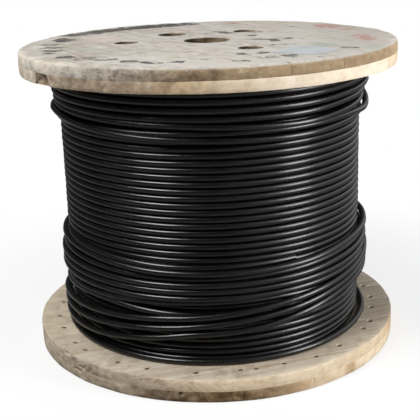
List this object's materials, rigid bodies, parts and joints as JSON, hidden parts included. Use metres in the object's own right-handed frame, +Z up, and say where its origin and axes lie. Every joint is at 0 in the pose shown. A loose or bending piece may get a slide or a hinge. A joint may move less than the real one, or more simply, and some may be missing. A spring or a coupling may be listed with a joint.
{
  "type": "wooden cable drum",
  "caption": "Wooden cable drum stored on its end: round flanges of crossed boards on a staved barrel, filled with a winding of glossy black cable.",
  "frame": {"origin": "on the drum's axis, at the underside of the lower flange", "axes": "+Z up along the drum's axis; -Y towards the viewer of the picture, +X to the viewer's right"},
  "size_m": [0.65, 0.65, 0.526],
  "materials": {
    "flange_wood": "weathered, rough-sawn softwood",
    "stave_wood": "rough-sawn softwood",
    "steel": "dull, with light rust",
    "cable_jacket": "glossy black"
  },
  "bodies": {
    "root": {"upper_outer_board_1": "flange_wood", "upper_outer_board_2": "flange_wood", "upper_outer_board_3": "flange_wood", "upper_outer_board_4": "flange_wood", "upper_outer_board_5": "flange_wood", "upper_inner_board_1": "flange_wood", "upper_inner_board_2": "flange_wood", "upper_inner_board_3": "flange_wood", "upper_inner_board_4": "flange_wood", "upper_inner_board_5": "flange_wood", "lower_inner_board_1": "flange_wood", "lower_inner_board_2": "flange_wood", "lower_inner_board_3": "flange_wood", "lower_inner_board_4": "flange_wood", "lower_inner_board_5": "flange_wood", "lower_outer_board_1": "flange_wood", "lower_outer_board_2": "flange_wood", "lower_outer_board_3": "flange_wood", "lower_outer_board_4": "flange_wood", "lower_outer_board_5": "flange_wood", "barrel_stave_1": "stave_wood", "barrel_stave_2": "stave_wood", "barrel_stave_3": "stave_wood", "barrel_stave_4": "stave_wood", "barrel_stave_5": "stave_wood", "barrel_stave_6": "stave_wood", "barrel_stave_7": "stave_wood", "barrel_stave_8": "stave_wood", "barrel_stave_9": "stave_wood", "barrel_stave_10": "stave_wood", "barrel_stave_11": "stave_wood", "barrel_stave_12": "stave_wood", "barrel_stave_13": "stave_wood", "barrel_stave_14": "stave_wood", "barrel_stave_15": "stave_wood", "barrel_stave_16": "stave_wood", "tie_rod_1": "steel", "tie_rod_2": "steel", "tie_rod_3": "steel", "upper_nut_1": "steel", "upper_nut_2": "steel", "upper_nut_3": "steel", "lower_nut_1": "steel", "lower_nut_2": "steel", "lower_nut_3": "steel", "upper_washer_1": "steel", "upper_washer_2": "steel", "upper_washer_3": "steel", "lower_washer_1": "steel", "lower_washer_2": "steel", "lower_washer_3": "steel", "cable_winding": "cable_jacket"}
  },
  "joints": []
}
